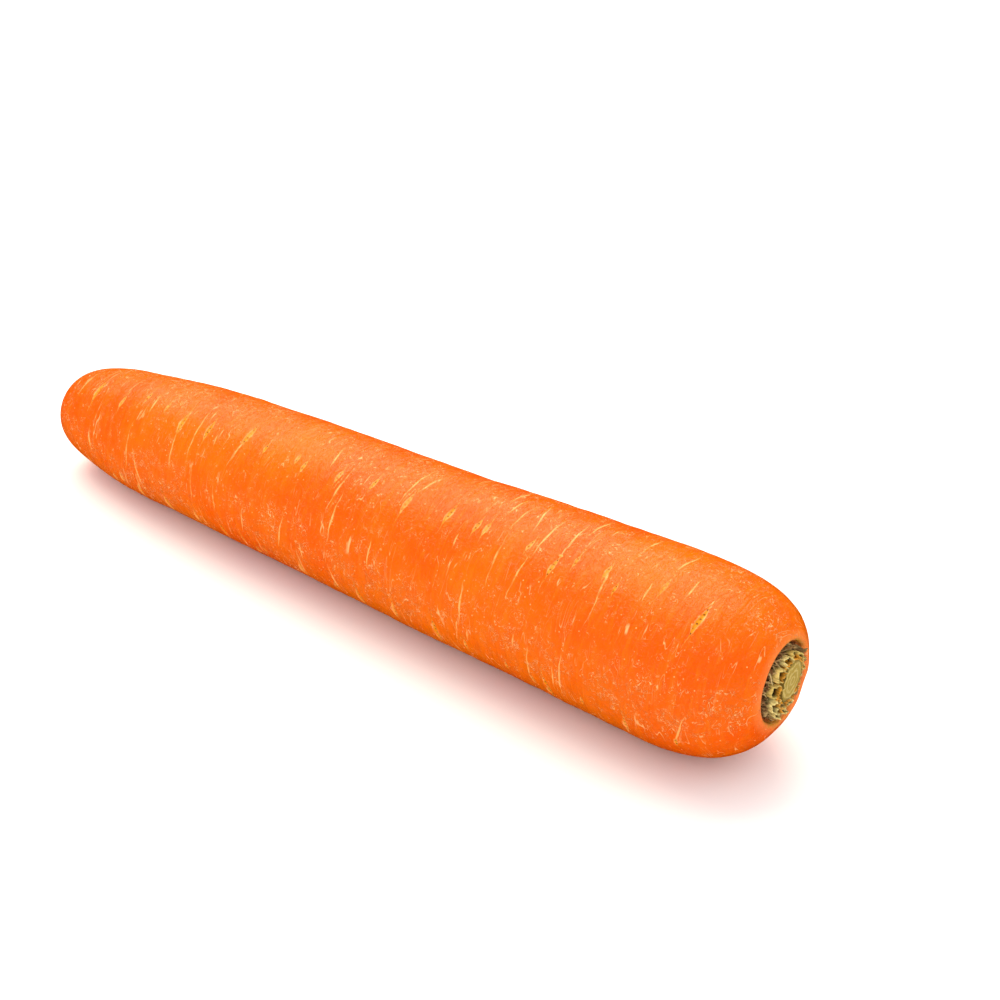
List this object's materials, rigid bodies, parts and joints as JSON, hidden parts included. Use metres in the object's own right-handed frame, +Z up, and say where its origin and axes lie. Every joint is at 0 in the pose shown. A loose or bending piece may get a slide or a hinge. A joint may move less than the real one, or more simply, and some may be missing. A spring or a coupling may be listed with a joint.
{
  "type": "carrot",
  "caption": "Whole washed carrot, topped at the crown: a long, gently tapering orange taproot with a blunt rounded tip and cut leaf bases in a shallow crown pit.",
  "frame": {"origin": "bottom centre of the box around the whole carrot, on the surface that it lies on", "axes": "+X along the root from its tip to its crown, +Z up, the carrot lying on its side"},
  "size_m": [0.2006, 0.0378, 0.0376],
  "materials": {
    "root_skin": "moist, lightly waxy orange carrot skin, soft gloss, with fine cross-wise scars",
    "stem_cut": "dry olive-green cut stem tissue, matt",
    "leaf_stalk": "straw-coloured cut leaf-stalk bases, matt, hollow",
    "withered_leaf": "dried brown leaf bases, fibrous, matt"
  },
  "bodies": {
    "root": {"taproot": "root_skin", "stem": "stem_cut", "leaf_stub_01": "leaf_stalk", "leaf_stub_02": "leaf_stalk", "leaf_stub_03": "leaf_stalk", "leaf_stub_04": "leaf_stalk", "leaf_stub_05": "leaf_stalk", "leaf_stub_06": "leaf_stalk", "leaf_stub_07": "leaf_stalk", "leaf_stub_08": "leaf_stalk", "leaf_stub_09": "leaf_stalk", "leaf_stub_10": "leaf_stalk", "leaf_stub_11": "leaf_stalk", "leaf_stub_12": "leaf_stalk", "withered_stub_01": "withered_leaf", "withered_stub_02": "withered_leaf", "withered_stub_03": "withered_leaf", "withered_stub_04": "withered_leaf", "withered_stub_05": "withered_leaf", "withered_stub_06": "withered_leaf", "withered_stub_07": "withered_leaf", "withered_stub_08": "withered_leaf", "withered_stub_09": "withered_leaf", "withered_stub_10": "withered_leaf"}
  },
  "joints": []
}
